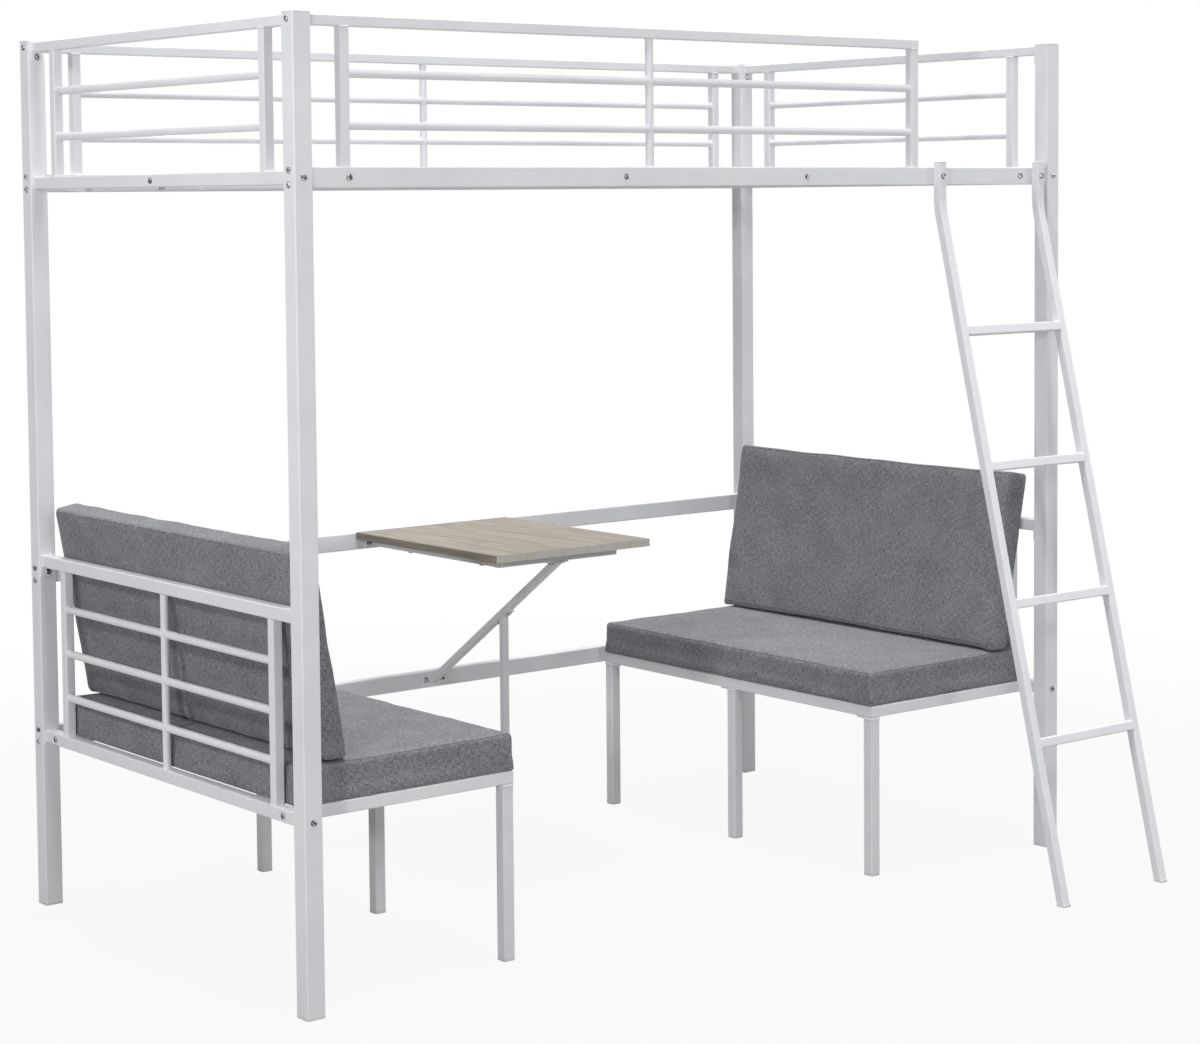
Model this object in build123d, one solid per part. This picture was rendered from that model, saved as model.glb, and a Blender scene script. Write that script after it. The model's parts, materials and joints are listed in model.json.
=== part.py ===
import os
from math import cos, radians, sin, tan

from build123d import *

# Loft bed over two facing bench seats and a small table.
# Millimetres, X along the bed, Y from the ladder's side to the back, Z up from the floor.
# The origin is on the floor under the middle of the whole, with the ladder and bolt heads counted in.

# Driving sizes of the bed
bed_length = 1990
bed_width = 1055
bed_height = 1800

# Heights of the centre lines of the rails, with the deck measured down from the top
seat_level = 358
table_rail_level = 697
backrest_level = 725
deck_drop = 292

# Steel stock
post_size = 38
post_wall = 1.5
rail_height = 38
rail_depth = 25
frame_tube = 25
guard_tube = 20
brace_tube = 16
bar_diameter = 16
tube_wall = 1.2
tube_corner = 2.6
plate_thickness = 3

# Gaps between pieces and the length by which cutting tools pass a face
fit_gap = 0.1
soft_gap = 0.3
overrun = 2

# Bolts, nuts and the threaded blocks in tube ends
bolt_diameter = 6
hole_gap = 0.3
head_diameter = 12.5
head_height = 3
head_round_share = 0.7
socket_size = 4.6
socket_depth = 1.6
insert_length = 20
nut_size = 11
nut_height = 5
paired_bolt_spacing = 26
screw_in_board = 11

# Plastic caps and feet
cap_height = 4
foot_height = 4
plug_depth = 14
cap_plug_depth = 6
cap_rounding = 1.5

# Guards and end panels
guard_post_gap = 66
panel_post_gap = 74
climb_in_width = 394
front_guard_middle_share = 0.4958
guard_bars = 2
lower_panel_bars = 3
flange_drop = 20

# Deck
deck_bolt_inset = 118.5
inner_deck_bolt = 238.5
slats_per_side = 6
middle_slats = 3

# Seats
seat_inner_edge = 515
seat_inset = 70
seat_slats = 3
leg_flange_length = 45
leg_bolt_inset = 10

# Cushions
seat_cushion_height = 77
seat_cushion_overhang = 3
back_cushion_inset = 1.5
back_cushion_height = 395
back_cushion_thickness = 64
back_lean = 10
cushion_corner = 22
cushion_crown = 12
cushion_edge = 12
cushion_bulge = 4
crown_reach = 90
edge_steps = 3
crown_steps = 3

# Table
board_width = 420
board_depth = 538.5
board_thickness = 16
board_rise = 2
board_corner = 4
table_frame_inset = 50
table_front_inset = 57
table_tab_width = 45
brace_plate_width = 65
brace_plate_height = 35
brace_top_plate_length = 50
table_leg_reach = 272.5
leg_plate_length = 66
leg_plate_bolt_spacing = 42

# Ladder
ladder_lean = 13.7
ladder_end_inset = 62
ladder_width = 328
ladder_bend_drop = 66
ladder_bend_radius = 170
ladder_rise = 8
ladder_first_rung_share = 0.2257
ladder_rung_pitch_share = 0.1972
ladder_rungs = 4
ladder_foot_lip = 0.6

# The deck's centre line and the ladder's bend below it
deck_level = bed_height - deck_drop
ladder_bend_level = deck_level - ladder_bend_drop

# The ladder's stiles stand on the front faces of the side rail
rail_face_inset = (post_size - rail_depth) / 2
stile_centre = guard_tube / 2 - rail_face_inset
ladder_run = ladder_bend_level * tan(radians(ladder_lean))
stile_foot_depth = guard_tube / cos(radians(ladder_lean))
ladder_reach = stile_centre + ladder_run + stile_foot_depth / 2 + ladder_foot_lip

# Faces and centre lines of the bed, with the whole centred on the origin
left_x = -bed_length / 2
right_x = bed_length / 2
front_y = (ladder_reach - bed_width - head_height) / 2
back_y = front_y + bed_width
middle_y = (front_y + back_y) / 2
post_centre_x = bed_length / 2 - post_size / 2
front_post_y = front_y + post_size / 2
back_post_y = back_y - post_size / 2
inner_left_x = left_x + post_size
inner_right_x = right_x - post_size
inner_front_y = front_y + post_size
inner_back_y = back_y - post_size

post_top = bed_height - cap_height
guard_level = post_top - guard_tube / 2
deck_centre = deck_level - (rail_height - frame_tube) / 2
end_rail_inner_x = left_x + post_size / 2 + frame_tube / 2
rear_rail_face = back_post_y - rail_depth / 2
outer_deck_bolt = bed_length / 2 - deck_bolt_inset


# A hollow section with rounded corners
def hollow(width, height, wall, corner):
    inside = RectangleRounded(width - 2 * wall, height - 2 * wall, corner - wall)
    return RectangleRounded(width, height, corner) - inside


# A straight tube between two points, with its width level and its height upright
def tube(start, end, width, height, wall=tube_wall):
    axis = Vector(end) - Vector(start)
    along_x = abs(axis.X) > axis.length / 2
    side = (0, 1, 0) if along_x else (1, 0, 0)
    plane = Plane(origin=start, x_dir=side, z_dir=axis)
    return extrude(plane * hollow(width, height, wall, tube_corner), axis.length)


# A straight round tube between two points
def round_tube(start, end, diameter):
    axis = Vector(end) - Vector(start)
    ring = Circle(diameter / 2) - Circle(diameter / 2 - tube_wall)
    return extrude(Plane(origin=start, z_dir=axis) * ring, axis.length)


# A solid rod that cuts a hole between two points
def drill(start, end, diameter=bolt_diameter + 2 * hole_gap):
    axis = Vector(end) - Vector(start)
    return extrude(Plane(origin=start, z_dir=axis) * Circle(diameter / 2), axis.length)


# A block between two opposite corners
def block(low, high):
    size = [b - a for a, b in zip(low, high)]
    centre = [(a + b) / 2 for a, b in zip(low, high)]
    return Pos(*centre) * Box(*size)


# A button head screw whose head lies on a face and whose shank goes into it
def bolt(point, outward, reach):
    head = Pos(0, 0, head_height / 2) * Cylinder(head_diameter / 2, head_height)
    head = fillet(head.edges().sort_by(Axis.Z)[-1], head_height * head_round_share)
    socket = extrude(RegularPolygon(socket_size / 2, 6), socket_depth + overrun)
    head -= Pos(0, 0, head_height - socket_depth) * socket
    shank = Pos(0, 0, -reach / 2) * Cylinder(bolt_diameter / 2, reach)
    return Plane(origin=point, z_dir=outward).location * (head + shank)


# A hexagon nut that starts at a point and goes inwards
def nut(point, inward):
    ring = RegularPolygon(nut_size / 2, 6) - Circle(bolt_diameter / 2 + fit_gap)
    return Plane(origin=point, z_dir=inward).location * extrude(ring, nut_height)


# A threaded block inside a tube's end, with a hole at each place along its height
def insert(point, inward, width, height, places=(0,)):
    axis = Vector(inward)
    side = (0, 1, 0) if abs(axis.X) > 0 else (1, 0, 0)
    inset = tube_wall + fit_gap
    section = RectangleRounded(width - 2 * inset, height - 2 * inset, tube_corner - tube_wall)
    for place in places:
        section -= Pos(0, place * (axis.X - axis.Y)) * Circle(bolt_diameter / 2 + fit_gap)
    return extrude(Plane(origin=point, x_dir=side, z_dir=inward) * section, insert_length)


# The same piece on the other end of the bed
def other_end(piece):
    return mirror(piece, about=Plane.YZ)


def save(name, *pieces):
    solids = [solid for piece in pieces for solid in piece.solids()]
    export_step(Compound(solids), f"parts/{name}.step")


# Heights of the bolts through a post's outer side, one list for each kind of rail
pair = (-paired_bolt_spacing / 2, paired_bolt_spacing / 2)
deck_bolt_levels = [deck_level + place for place in pair]
rear_bolt_levels = [level + place for level in (table_rail_level, seat_level) for place in pair]
flange_bolt_levels = [guard_level - guard_tube / 2 - flange_drop / 2]
flange_bolt_levels += [backrest_level - frame_tube / 2 - flange_drop / 2]
end_rail_levels = [deck_level, seat_level]


def side_bolt_levels(has_guard, is_rear):
    levels = list(deck_bolt_levels)
    if has_guard:
        levels.append(guard_level)
    if is_rear:
        levels += rear_bolt_levels
    return levels


# A post stands at x, y and its inner Y face looks along facing
def post(x, y, facing, levels):
    body = tube((x, y, foot_height), (x, y, post_top), post_size, post_size, post_wall)
    half = post_size / 2 + overrun
    for level in levels:
        body -= drill((x - half, y, level), (x + half, y, level))
    for level in end_rail_levels:
        body -= drill((x, y - half, level), (x, y + half, level))
    inner = y + facing * post_size / 2
    for level in flange_bolt_levels:
        deep = inner - facing * (post_wall + overrun)
        body -= drill((x, inner + facing * overrun, level), (x, deep, level))
    return body


def plug(x, y, low, size, wall, height):
    side = size - 2 * (wall + fit_gap)
    return Pos(x, y, low) * extrude(RectangleRounded(side, side, tube_corner - wall), height)


# A flat cap on a tube's top with a plug inside the tube
def top_cap(x, y, top, size, wall):
    cover = extrude(RectangleRounded(size, size, tube_corner), cap_height)
    cover = fillet(cover.edges().group_by(Axis.Z)[-1], cap_rounding)
    inside = plug(x, y, top - cap_plug_depth, size, wall, cap_plug_depth)
    return Pos(x, y, top) * cover + inside


# A flat foot under a tube with a plug inside the tube
def foot(x, y, size, wall):
    sole = extrude(RectangleRounded(size, size, tube_corner), foot_height)
    return Pos(x, y, 0) * sole + plug(x, y, foot_height, size, wall, plug_depth)


def side_rail(y):
    rail = tube((inner_left_x, y, deck_level), (inner_right_x, y, deck_level), rail_depth, rail_height)
    half = rail_depth / 2 + overrun
    for x in deck_bolt_places():
        rail -= drill((x, y - half, deck_level), (x, y + half, deck_level))
    return rail


def deck_bolt_places():
    return [sign * place for sign in (-1, 1) for place in (outer_deck_bolt, inner_deck_bolt)]


def level_steps(low, high, count):
    return [low + (high - low) * (i + 1) / (count + 1) for i in range(count)]


# A bar that meets the round middle upright with a saddle cut at each side
def bars_along_x(start, end, y, z, middle):
    post_cut = drill((middle, y, z - bar_diameter), (middle, y, z + bar_diameter), bar_diameter + 2 * fit_gap)
    return round_tube((start, y, z), (end, y, z), bar_diameter) - post_cut


def bars_along_y(x, start, end, z):
    return round_tube((x, start, z), (x, end, z), bar_diameter)


# A guard along the bed from a post to its last upright, or to the other post
def guard(y, end_x, uprights, middle):
    rail_top = deck_level + rail_height / 2
    rail_under = guard_level - guard_tube / 2
    pieces = [tube((inner_left_x, y, guard_level), (end_x, y, guard_level), guard_tube, guard_tube)]
    for x in uprights:
        pieces.append(tube((x, y, rail_top), (x, y, rail_under), guard_tube, guard_tube))
    pieces.append(round_tube((middle, y, rail_top), (middle, y, rail_under), bar_diameter))
    first = uprights[0] + guard_tube / 2
    last = uprights[-1] - guard_tube / 2
    for z in level_steps(deck_level, guard_level, guard_bars):
        pieces.append(bars_along_x(first, last, y, z, middle))
    return pieces


front_guard_end = inner_right_x - climb_in_width
first_guard_upright = inner_left_x + guard_post_gap + guard_tube / 2
front_guard_last = front_guard_end - guard_tube / 2


def front_guard():
    uprights = [first_guard_upright, front_guard_last]
    middle = first_guard_upright + (front_guard_last - first_guard_upright) * front_guard_middle_share
    return guard(front_post_y, front_guard_end, uprights, middle)


def rear_guard():
    return guard(back_post_y, inner_right_x, [first_guard_upright, -first_guard_upright], 0)


# The flange plates that hang from the ends of an end panel's top rail
def panel_flanges(level, size):
    pieces = []
    x = -post_centre_x
    low = level - size / 2 - flange_drop
    high = level + size / 2
    half = post_size / 2 - tube_corner
    for face, facing in ((inner_front_y, 1), (inner_back_y, -1)):
        back = face + facing * plate_thickness
        plate = block((x - half, min(face, back), low), (x + half, max(face, back), high))
        bolt_level = low + flange_drop / 2
        plate -= drill((x, face - facing * overrun, bolt_level), (x, back + facing * overrun, bolt_level))
        pieces.append(plate)
    return pieces


# A welded end panel with a bottom rail, a flanged top rail, uprights and level bars
def end_panel(low_level, top_level, top_size, bar_count, has_middle):
    x = -post_centre_x
    start = inner_front_y + plate_thickness
    end = inner_back_y - plate_thickness
    pieces = [tube((x, start, top_level), (x, end, top_level), top_size, top_size)]
    pieces += panel_flanges(top_level, top_size)
    bottom = tube((x, inner_front_y, low_level), (x, inner_back_y, low_level), frame_tube, frame_tube)
    pieces.append(bottom)
    low = low_level + frame_tube / 2
    high = top_level - top_size / 2
    first = inner_front_y + panel_post_gap + guard_tube / 2
    last = inner_back_y - panel_post_gap - guard_tube / 2
    for y in (first, last):
        pieces.append(tube((x, y, low), (x, y, high), guard_tube, guard_tube))
    if has_middle:
        pieces.append(round_tube((x, middle_y, low), (x, middle_y, high), bar_diameter))
    for z in level_steps(low_level, top_level, bar_count):
        bar = bars_along_y(x, first + guard_tube / 2, last - guard_tube / 2, z)
        if has_middle:
            reach = bar_diameter
            bar -= drill((x, middle_y, z - reach), (x, middle_y, z + reach), bar_diameter + 2 * fit_gap)
        pieces.append(bar)
    return pieces, bottom


# Holes for the bolts that come in through the outer face of an end panel's bottom rail
def drilled_panel(pieces, bottom, level, places):
    kept = [piece for piece in pieces if piece is not bottom]
    x = -post_centre_x
    half = frame_tube / 2 + overrun
    for y in places:
        bottom = bottom - drill((x - half, y, level), (x + half, y, level))
    return kept + [bottom]


seat_front_y = front_y + seat_inset
seat_back_y = back_y - seat_inset
seat_length = seat_back_y - seat_front_y
seat_front_tube_y = seat_front_y + frame_tube / 2
seat_back_tube_y = seat_back_y - frame_tube / 2
seat_inner_x = left_x + seat_inner_edge
seat_edge_x = seat_inner_x - frame_tube / 2


def upper_end_panel():
    pieces, bottom = end_panel(deck_level, guard_level, guard_tube, guard_bars, False)
    return drilled_panel(pieces, bottom, deck_level, [middle_y])


def lower_end_panel():
    pieces, bottom = end_panel(seat_level, backrest_level, frame_tube, lower_panel_bars, True)
    return drilled_panel(pieces, bottom, seat_level, [seat_front_tube_y, seat_back_tube_y])


def deck_centre_beam():
    start = (end_rail_inner_x, middle_y, deck_centre)
    end = (-end_rail_inner_x, middle_y, deck_centre)
    return tube(start, end, frame_tube, frame_tube)


# Places of the slats of the left bolted group and of the middle group
def slat_places():
    step = (outer_deck_bolt - inner_deck_bolt) / (slats_per_side - 1)
    group = [-outer_deck_bolt + i * step for i in range(slats_per_side)]
    middle_step = 2 * inner_deck_bolt / (middle_slats + 1)
    middle = [-inner_deck_bolt + (i + 1) * middle_step for i in range(middle_slats)]
    return group, middle


slat_front_y = front_post_y + rail_depth / 2
slat_back_y = back_post_y - rail_depth / 2


# Half slats from each side rail to the centre beam
def slats(places):
    pieces = []
    for x in places:
        for outer, facing in ((slat_front_y, -1), (slat_back_y, 1)):
            inner = middle_y + facing * frame_tube / 2
            pieces.append(tube((x, outer, deck_centre), (x, inner, deck_centre), frame_tube, frame_tube))
    return pieces


# A rear rail with holes in its front wall at one height
def rear_rail(level, holes, hole_level):
    start = (inner_left_x, back_post_y, level)
    rail = tube(start, (inner_right_x, back_post_y, level), rail_depth, rail_height)
    for x in holes:
        start = (x, rear_rail_face - overrun, hole_level)
        rail -= drill(start, (x, rear_rail_face + tube_wall + overrun, hole_level))
    return rail


# Cuts the end of a tube that runs to a corner at forty five degrees
def mitred(piece, corner, normal, keep):
    return split(piece, bisect_by=Plane(origin=corner, z_dir=normal), keep=keep)


# The seat frame is bolted to the end panel's bottom rail and mitred at its inner corners
def seat_frame():
    z = seat_level
    x_end = seat_inner_x
    pieces = []
    for y, corner_y, facing in ((seat_front_tube_y, seat_front_y, 1), (seat_back_tube_y, seat_back_y, -1)):
        side = tube((end_rail_inner_x, y, z), (x_end, y, z), frame_tube, frame_tube)
        pieces.append(mitred(side, (x_end, corner_y, z), (-1, -facing, 0), Keep.TOP))
    edge = tube((seat_edge_x, seat_front_y, z), (seat_edge_x, seat_back_y, z), frame_tube, frame_tube)
    edge = mitred(edge, (x_end, seat_front_y, z), (1, 1, 0), Keep.TOP)
    edge = mitred(edge, (x_end, seat_back_y, z), (1, -1, 0), Keep.TOP)
    for _, bolt_y in leg_places():
        low = z - frame_tube / 2
        edge -= drill((seat_edge_x, bolt_y, low - overrun), (seat_edge_x, bolt_y, low + tube_wall + overrun))
    return pieces + [edge]


# Thin tubes that carry the cushion, level with the top of the seat frame
def seat_slat_tubes():
    start = seat_front_y + frame_tube
    end = seat_back_y - frame_tube
    z = seat_level + frame_tube / 2 - guard_tube / 2
    span = seat_edge_x - frame_tube / 2 - end_rail_inner_x
    pieces = []
    for i in range(seat_slats):
        x = end_rail_inner_x + span * (i + 1) / (seat_slats + 1)
        pieces.append(tube((x, start, z), (x, end, z), guard_tube, guard_tube))
    return pieces


# Centre of each leg and of its bolt, from front to back
def leg_places():
    reach = leg_flange_length - frame_tube / 2 - leg_bolt_inset
    middle = (seat_front_tube_y + seat_back_tube_y) / 2
    return [
        (seat_front_tube_y, seat_front_tube_y + reach),
        (middle, middle + reach),
        (seat_back_tube_y, seat_back_tube_y - reach),
    ]


# A leg with the flange plate that bolts it under the seat frame
def seat_leg(leg_y, bolt_y):
    x = seat_edge_x
    top = seat_level - frame_tube / 2
    under = top - plate_thickness
    half = frame_tube / 2
    facing = 1 if bolt_y > leg_y else -1
    near = leg_y - facing * half
    far = bolt_y + facing * leg_bolt_inset
    plate = block((x - half, min(near, far), under), (x + half, max(near, far), top))
    plate -= drill((x, bolt_y, under - overrun), (x, bolt_y, top + overrun))
    return [tube((x, leg_y, foot_height), (x, leg_y, under), frame_tube, frame_tube), plate]


# Heights and insets of a cushion's side, from its rounded lower edge to its rounded upper edge
def cushion_side(height):
    edge = []
    for i in range(edge_steps + 1):
        turn = radians(90 * i / edge_steps)
        edge.append((cushion_edge * (1 - cos(turn)), cushion_bulge + cushion_edge * (1 - sin(turn))))
    upper = [(height - rise, inset) for rise, inset in reversed(edge)]
    return edge + [(height / 2, 0)] + upper


# A box cushion that lies flat with its lower corner at zero.
# Its sides draw in towards both faces, and its upper face rises to a crown.
def cushion(length, width, thickness):
    side_height = thickness - cushion_crown
    layers = cushion_side(side_height)
    for i in range(crown_steps):
        share = (i + 1) / crown_steps
        rise = cushion_crown * (1 - (1 - share) ** 2)
        layers.append((side_height + rise, cushion_bulge + cushion_edge + crown_reach * share))
    faces = []
    for height, inset in layers:
        outline = RectangleRounded(length - 2 * inset, width - 2 * inset, cushion_corner)
        faces.append(Pos(length / 2, width / 2, height) * outline)
    return loft(faces, ruled=True)


seat_cushion_x = end_rail_inner_x + soft_gap
seat_cushion_low = seat_level + frame_tube / 2 + soft_gap
seat_cushion_width = seat_inner_x + seat_cushion_overhang - seat_cushion_x
back_cushion_length = seat_length - 2 * back_cushion_inset


def seat_cushion():
    body = cushion(seat_cushion_width, seat_length, seat_cushion_height)
    return Pos(seat_cushion_x, seat_front_y, seat_cushion_low) * body


# The back cushion stands on the seat cushion and leans on the end panel's top rail
def back_cushion():
    lean = radians(back_lean)
    body = cushion(back_cushion_height, back_cushion_length, back_cushion_thickness)
    edge_x = end_rail_inner_x + soft_gap / cos(lean)
    edge_z = backrest_level + frame_tube / 2
    low_z = seat_cushion_low + seat_cushion_height + soft_gap
    low_x = edge_x + (edge_z - low_z) * tan(lean)
    plane = Plane(
        origin=(low_x, seat_front_y + back_cushion_inset, low_z),
        x_dir=(-sin(lean), 0, cos(lean)),
        z_dir=(cos(lean), 0, sin(lean)),
    )
    # The plane's second axis runs towards the front, so the body is moved to lie behind its origin
    return plane.location * (Pos(0, -back_cushion_length, 0) * body)


board_top = table_rail_level + rail_height / 2 + board_rise
board_low = board_top - board_thickness
board_back_y = rear_rail_face
board_front_y = board_back_y - board_depth
table_frame_level = board_low - guard_tube / 2
table_frame_low = board_low - guard_tube
table_side_x = board_width / 2 - table_frame_inset - guard_tube / 2
table_front_tube_y = board_front_y + table_front_inset + guard_tube / 2
table_screw_places = [
    (sign * table_side_x, y)
    for sign in (-1, 1)
    for y in (board_front_y + board_depth / 4, board_back_y - board_depth / 4)
]


def table_top():
    outline = RectangleRounded(board_width, board_depth, board_corner)
    board = Pos(0, (board_front_y + board_back_y) / 2, board_low) * extrude(outline, board_thickness)
    for x, y in table_screw_places:
        start = (x, y, board_low - overrun)
        board -= drill(start, (x, y, board_low + screw_in_board), bolt_diameter + 2 * fit_gap)
    return board


# Bolt through a table tab, halfway across the part that stands out beside the tube
table_tab_bolt_x = table_side_x - guard_tube / 2 + table_tab_width - leg_bolt_inset


# The frame under the board is mitred at the front and has a tab at each rear end
def table_frame():
    z = table_frame_level
    half = guard_tube / 2
    front = board_front_y + table_front_inset
    back = board_back_y - plate_thickness
    pieces = []
    for sign in (-1, 1):
        x = sign * table_side_x
        outer = x + sign * half
        side = tube((x, front, z), (x, back, z), guard_tube, guard_tube)
        side = mitred(side, (outer, front, z), (sign, 1, 0), Keep.TOP)
        for screw_x, y in table_screw_places:
            if screw_x == x:
                side -= drill((x, y, z - half - overrun), (x, y, z + half + overrun))
        inner = x - sign * half
        far = inner + sign * table_tab_width
        tab = block((min(inner, far), back, z - half), (max(inner, far), board_back_y, z + half))
        bolt_x = sign * table_tab_bolt_x
        tab -= drill((bolt_x, back - overrun, z), (bolt_x, board_back_y + overrun, z))
        pieces += [side, tab]
    reach = table_side_x + half
    rail = tube((-reach, table_front_tube_y, z), (reach, table_front_tube_y, z), guard_tube, guard_tube)
    for sign in (-1, 1):
        rail = mitred(rail, (sign * reach, front, z), (-sign, 1, 0), Keep.TOP)
    for x in brace_top_bolts():
        low = table_frame_low
        start = (x, table_front_tube_y, low - overrun)
        rail -= drill(start, (x, table_front_tube_y, low + tube_wall + overrun))
    return pieces + [rail]


def brace_top_bolts():
    place = brace_top_plate_length / 2 - leg_bolt_inset
    return [-place, place]


def brace_low_bolts():
    place = brace_plate_width / 2 - leg_bolt_inset
    return [-place, place]


# The brace rises from the rear seat rail to the front of the table frame
brace_low = (0, rear_rail_face - plate_thickness, seat_level)
brace_high = (0, table_front_tube_y, table_frame_low - plate_thickness)
brace_axis = (Vector(brace_high) - Vector(brace_low)).normalized()
brace_under = Vector(0, -brace_axis.Z, brace_axis.Y)
brace_slope = -brace_axis.Z / brace_axis.Y


def table_brace():
    extra = brace_axis * brace_tube
    body = tube(Vector(brace_low) - extra, Vector(brace_high) + extra, brace_tube, brace_tube)
    body = split(body, bisect_by=Plane(origin=brace_low, z_dir=(0, -1, 0)), keep=Keep.TOP)
    body = split(body, bisect_by=Plane(origin=brace_high, z_dir=(0, 0, -1)), keep=Keep.TOP)
    for place in leg_plate_bolts():
        start = place - brace_under * (tube_wall + overrun)
        body -= drill(start, place + brace_under * overrun)
    half_wide = brace_plate_width / 2
    half_high = brace_plate_height / 2
    foot_plate = block(
        (-half_wide, rear_rail_face - plate_thickness, seat_level - half_high),
        (half_wide, rear_rail_face, seat_level + half_high),
    )
    for x in brace_low_bolts():
        start = (x, rear_rail_face - plate_thickness - overrun, seat_level)
        foot_plate -= drill(start, (x, rear_rail_face + overrun, seat_level))
    half_long = brace_top_plate_length / 2
    low_z = table_frame_low - plate_thickness
    head_plate = block(
        (-half_long, table_front_tube_y - guard_tube / 2, low_z),
        (half_long, table_front_tube_y + guard_tube / 2, table_frame_low),
    )
    for x in brace_top_bolts():
        start = (x, table_front_tube_y, low_z - overrun)
        head_plate -= drill(start, (x, table_front_tube_y, table_frame_low + overrun))
    return [body, foot_plate, head_plate]


# Point on the brace's underside above the table's leg
table_leg_y = rear_rail_face - table_leg_reach
leg_joint_z = seat_level + (brace_low[1] - table_leg_y) * brace_slope
leg_joint = Vector(0, table_leg_y, leg_joint_z) + brace_under * (brace_tube / 2)


def leg_plate_bolts():
    half = leg_plate_bolt_spacing / 2
    return [leg_joint - brace_axis * half, leg_joint + brace_axis * half]


# The leg's top is cut to the slope of the brace and carries a plate under it
def table_leg():
    y = leg_joint.Y
    under = leg_joint + brace_under * plate_thickness
    top = leg_joint.Z + brace_tube
    body = tube((0, y, foot_height), (0, y, top), brace_tube, brace_tube)
    body = split(body, bisect_by=Plane(origin=under, z_dir=brace_under), keep=Keep.TOP)
    plane = Plane(origin=leg_joint, x_dir=(1, 0, 0), z_dir=brace_under)
    plate = extrude(plane * Rectangle(brace_tube, leg_plate_length), plate_thickness)
    for place in leg_plate_bolts():
        start = place - brace_under * overrun
        plate -= drill(start, place + brace_under * (plate_thickness + overrun))
    return [body, plate]


# Centre line of a stile, from the floor to a bend and up the side rail's face
stile_y = front_y - stile_centre
stile_foot_y = stile_y - ladder_run
stile_top = deck_level + rail_height / 2 + ladder_rise


def stile_line(low):
    start = (0, stile_foot_y + low * tan(radians(ladder_lean)), low)
    bend = (0, stile_y, ladder_bend_level)
    return FilletPolyline(start, bend, (0, stile_y, stile_top), radius=ladder_bend_radius)


stile_places = [
    right_x - ladder_end_inset - ladder_width + guard_tube / 2,
    right_x - ladder_end_inset - guard_tube / 2,
]


# A bent stile, cut level above its foot
def stile(x):
    line = stile_line(-guard_tube)
    start = Plane(origin=line @ 0, x_dir=(1, 0, 0), z_dir=line % 0)
    body = sweep(start * hollow(guard_tube, guard_tube, tube_wall, tube_corner), path=line)
    body = split(body, bisect_by=Plane(origin=(0, 0, foot_height), z_dir=(0, 0, 1)), keep=Keep.TOP)
    half = guard_tube / 2 + overrun
    body -= drill((0, stile_y - half, deck_level), (0, stile_y + half, deck_level))
    return Pos(x, 0, 0) * body


def rung(number):
    z = ladder_bend_level * (ladder_first_rung_share + number * ladder_rung_pitch_share)
    y = stile_foot_y + z * tan(radians(ladder_lean))
    start = stile_places[0] + guard_tube / 2
    end = stile_places[1] - guard_tube / 2
    tilt = Pos(0, y, z) * Rot(-ladder_lean, 0, 0)
    return tilt * tube((start, 0, 0), (end, 0, 0), guard_tube, guard_tube)


# A level sole under a slanted stile with a plug that follows the stile
def ladder_foot(x):
    lean = radians(ladder_lean)
    wide = guard_tube + 2 * ladder_foot_lip
    deep = stile_foot_depth + 2 * ladder_foot_lip
    sole = Pos(x, stile_foot_y, 0) * extrude(RectangleRounded(wide, deep, tube_corner), foot_height)
    side = guard_tube - 2 * (tube_wall + fit_gap)
    axis = (0, sin(lean), cos(lean))
    plane = Plane(origin=(x, stile_foot_y, 0), x_dir=(1, 0, 0), z_dir=axis)
    core = extrude(plane * RectangleRounded(side, side, tube_corner - tube_wall), plug_depth + foot_height)
    core = split(core, bisect_by=Plane(origin=(0, 0, foot_height), z_dir=(0, 0, 1)), keep=Keep.TOP)
    return sole + core


# Every bolt through the outer side of a post, and the blocks that it screws into
def post_side_fasteners():
    bolts = []
    blocks = []
    reach = post_size + insert_length
    corners = (
        (-1, front_post_y, True, False),
        (-1, back_post_y, True, True),
        (1, back_post_y, True, True),
        (1, front_post_y, False, False),
    )
    for sign, y, has_guard, is_rear in corners:
        outer = sign * bed_length / 2
        inner = sign * (bed_length / 2 - post_size)
        for level in side_bolt_levels(has_guard, is_rear):
            bolts.append(bolt((outer, y, level), (sign, 0, 0), reach))
        rails = [deck_level]
        if is_rear:
            rails += [table_rail_level, seat_level]
        for level in rails:
            blocks.append(insert((inner, y, level), (-sign, 0, 0), rail_depth, rail_height, pair))
        if has_guard:
            blocks.append(insert((inner, y, guard_level), (-sign, 0, 0), guard_tube, guard_tube))
    return bolts, blocks


# Bolts through the front and rear faces of the posts into the bottom rails of the end panels
def post_end_fasteners():
    bolts = []
    blocks = []
    reach = post_size + insert_length
    for x in (-post_centre_x, post_centre_x):
        for level in end_rail_levels:
            for outer, inner, facing in ((front_y, inner_front_y, -1), (back_y, inner_back_y, 1)):
                bolts.append(bolt((x, outer, level), (0, facing, 0), reach))
                blocks.append(insert((x, inner, level), (0, -facing, 0), frame_tube, frame_tube))
    return bolts, blocks


# Bolts through the flange plates of the end panels' top rails, with nuts inside the posts
def flange_fasteners():
    bolts = []
    nuts = []
    reach = plate_thickness + post_wall + nut_height
    for x in (-post_centre_x, post_centre_x):
        for level in flange_bolt_levels:
            for inner, facing in ((inner_front_y, 1), (inner_back_y, -1)):
                head_y = inner + facing * plate_thickness
                bolts.append(bolt((x, head_y, level), (0, facing, 0), reach))
                nuts.append(nut((x, inner - facing * post_wall, level), (0, -facing, 0)))
    return bolts, nuts


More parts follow.
